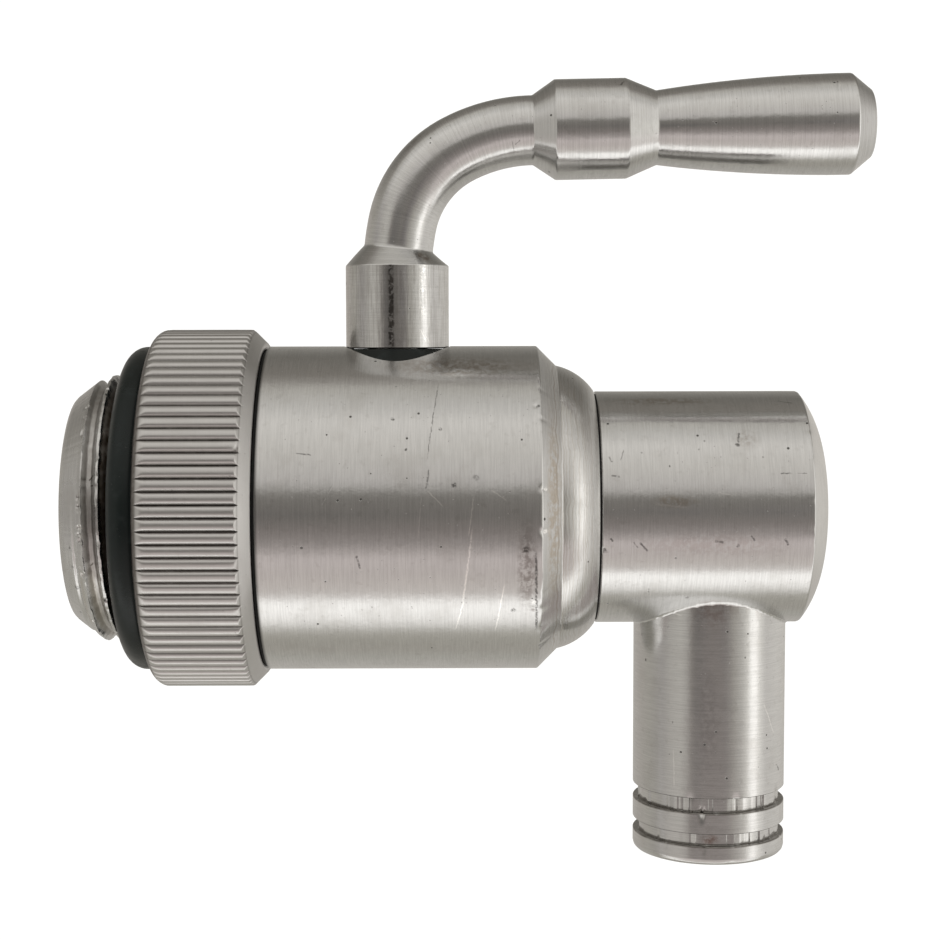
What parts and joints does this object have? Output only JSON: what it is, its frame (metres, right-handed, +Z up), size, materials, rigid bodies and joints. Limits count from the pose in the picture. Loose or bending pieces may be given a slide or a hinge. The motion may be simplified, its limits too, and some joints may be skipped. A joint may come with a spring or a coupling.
{
  "type": "bag in box tap",
  "caption": "Stainless quarter-turn dispensing tap with a threaded knurled swivel coupling, a bent lever, a horizontal spout and a grooved outlet tube pointing down.",
  "frame": {"origin": "on the inlet axis, in the plane where the full thread of the inlet coupling begins, 1.3 mm inside its end face", "axes": "+X along the flow from the inlet to the spout, +Z up towards the lever, outlet tube towards -Z"},
  "size_m": [0.0781, 0.0354, 0.077],
  "materials": {
    "turned_steel": "turned and brushed round, worn, small pits and scratches",
    "knurled_steel": "matte, straight knurl",
    "lever_steel": "satin turned bar",
    "polished_steel": "ground and polished",
    "spring_steel": "plain spring steel",
    "black_rubber": "smooth moulded rubber, slight sheen",
    "black_washer": "thin black washer",
    "white_seat": "smooth white seat plastic"
  },
  "bodies": {
    "coupling": {"inlet_coupling": "knurled_steel", "inlet_face_oring": "black_rubber"},
    "tap": {"inlet_nipple": "turned_steel", "coupling_oring_front": "black_rubber", "coupling_oring_rear": "black_rubber", "nipple_oring": "black_rubber", "coupling_circlip": "spring_steel", "coupling_thrust_washer": "white_seat", "swivel_washer": "black_washer", "valve_body": "turned_steel", "inlet_seat": "white_seat", "outlet_seat": "white_seat", "stem_thrust_washer": "white_seat", "stem_seal": "black_rubber", "spout_elbow": "turned_steel", "spout_oring": "black_rubber", "spout_gasket": "black_washer", "outlet_tube": "turned_steel"},
    "lever": {"lever_handle": "lever_steel", "lever_set_screw": "spring_steel", "stem": "polished_steel", "stem_oring_lower": "black_rubber", "stem_oring_upper": "black_rubber", "ball": "polished_steel"}
  },
  "joints": [
    {"name": "coupling_swivel", "type": "hinge", "parent": "coupling", "child": "tap", "pos_m": [0.01, 0, 0], "axis": [1, 0, 0], "continuous": true},
    {"name": "lever_turn", "type": "hinge", "parent": "tap", "child": "lever", "pos_m": [0.0302, 0, 0.0158], "axis": [0, 0, 1], "range_deg": [-90, 0]}
  ]
}
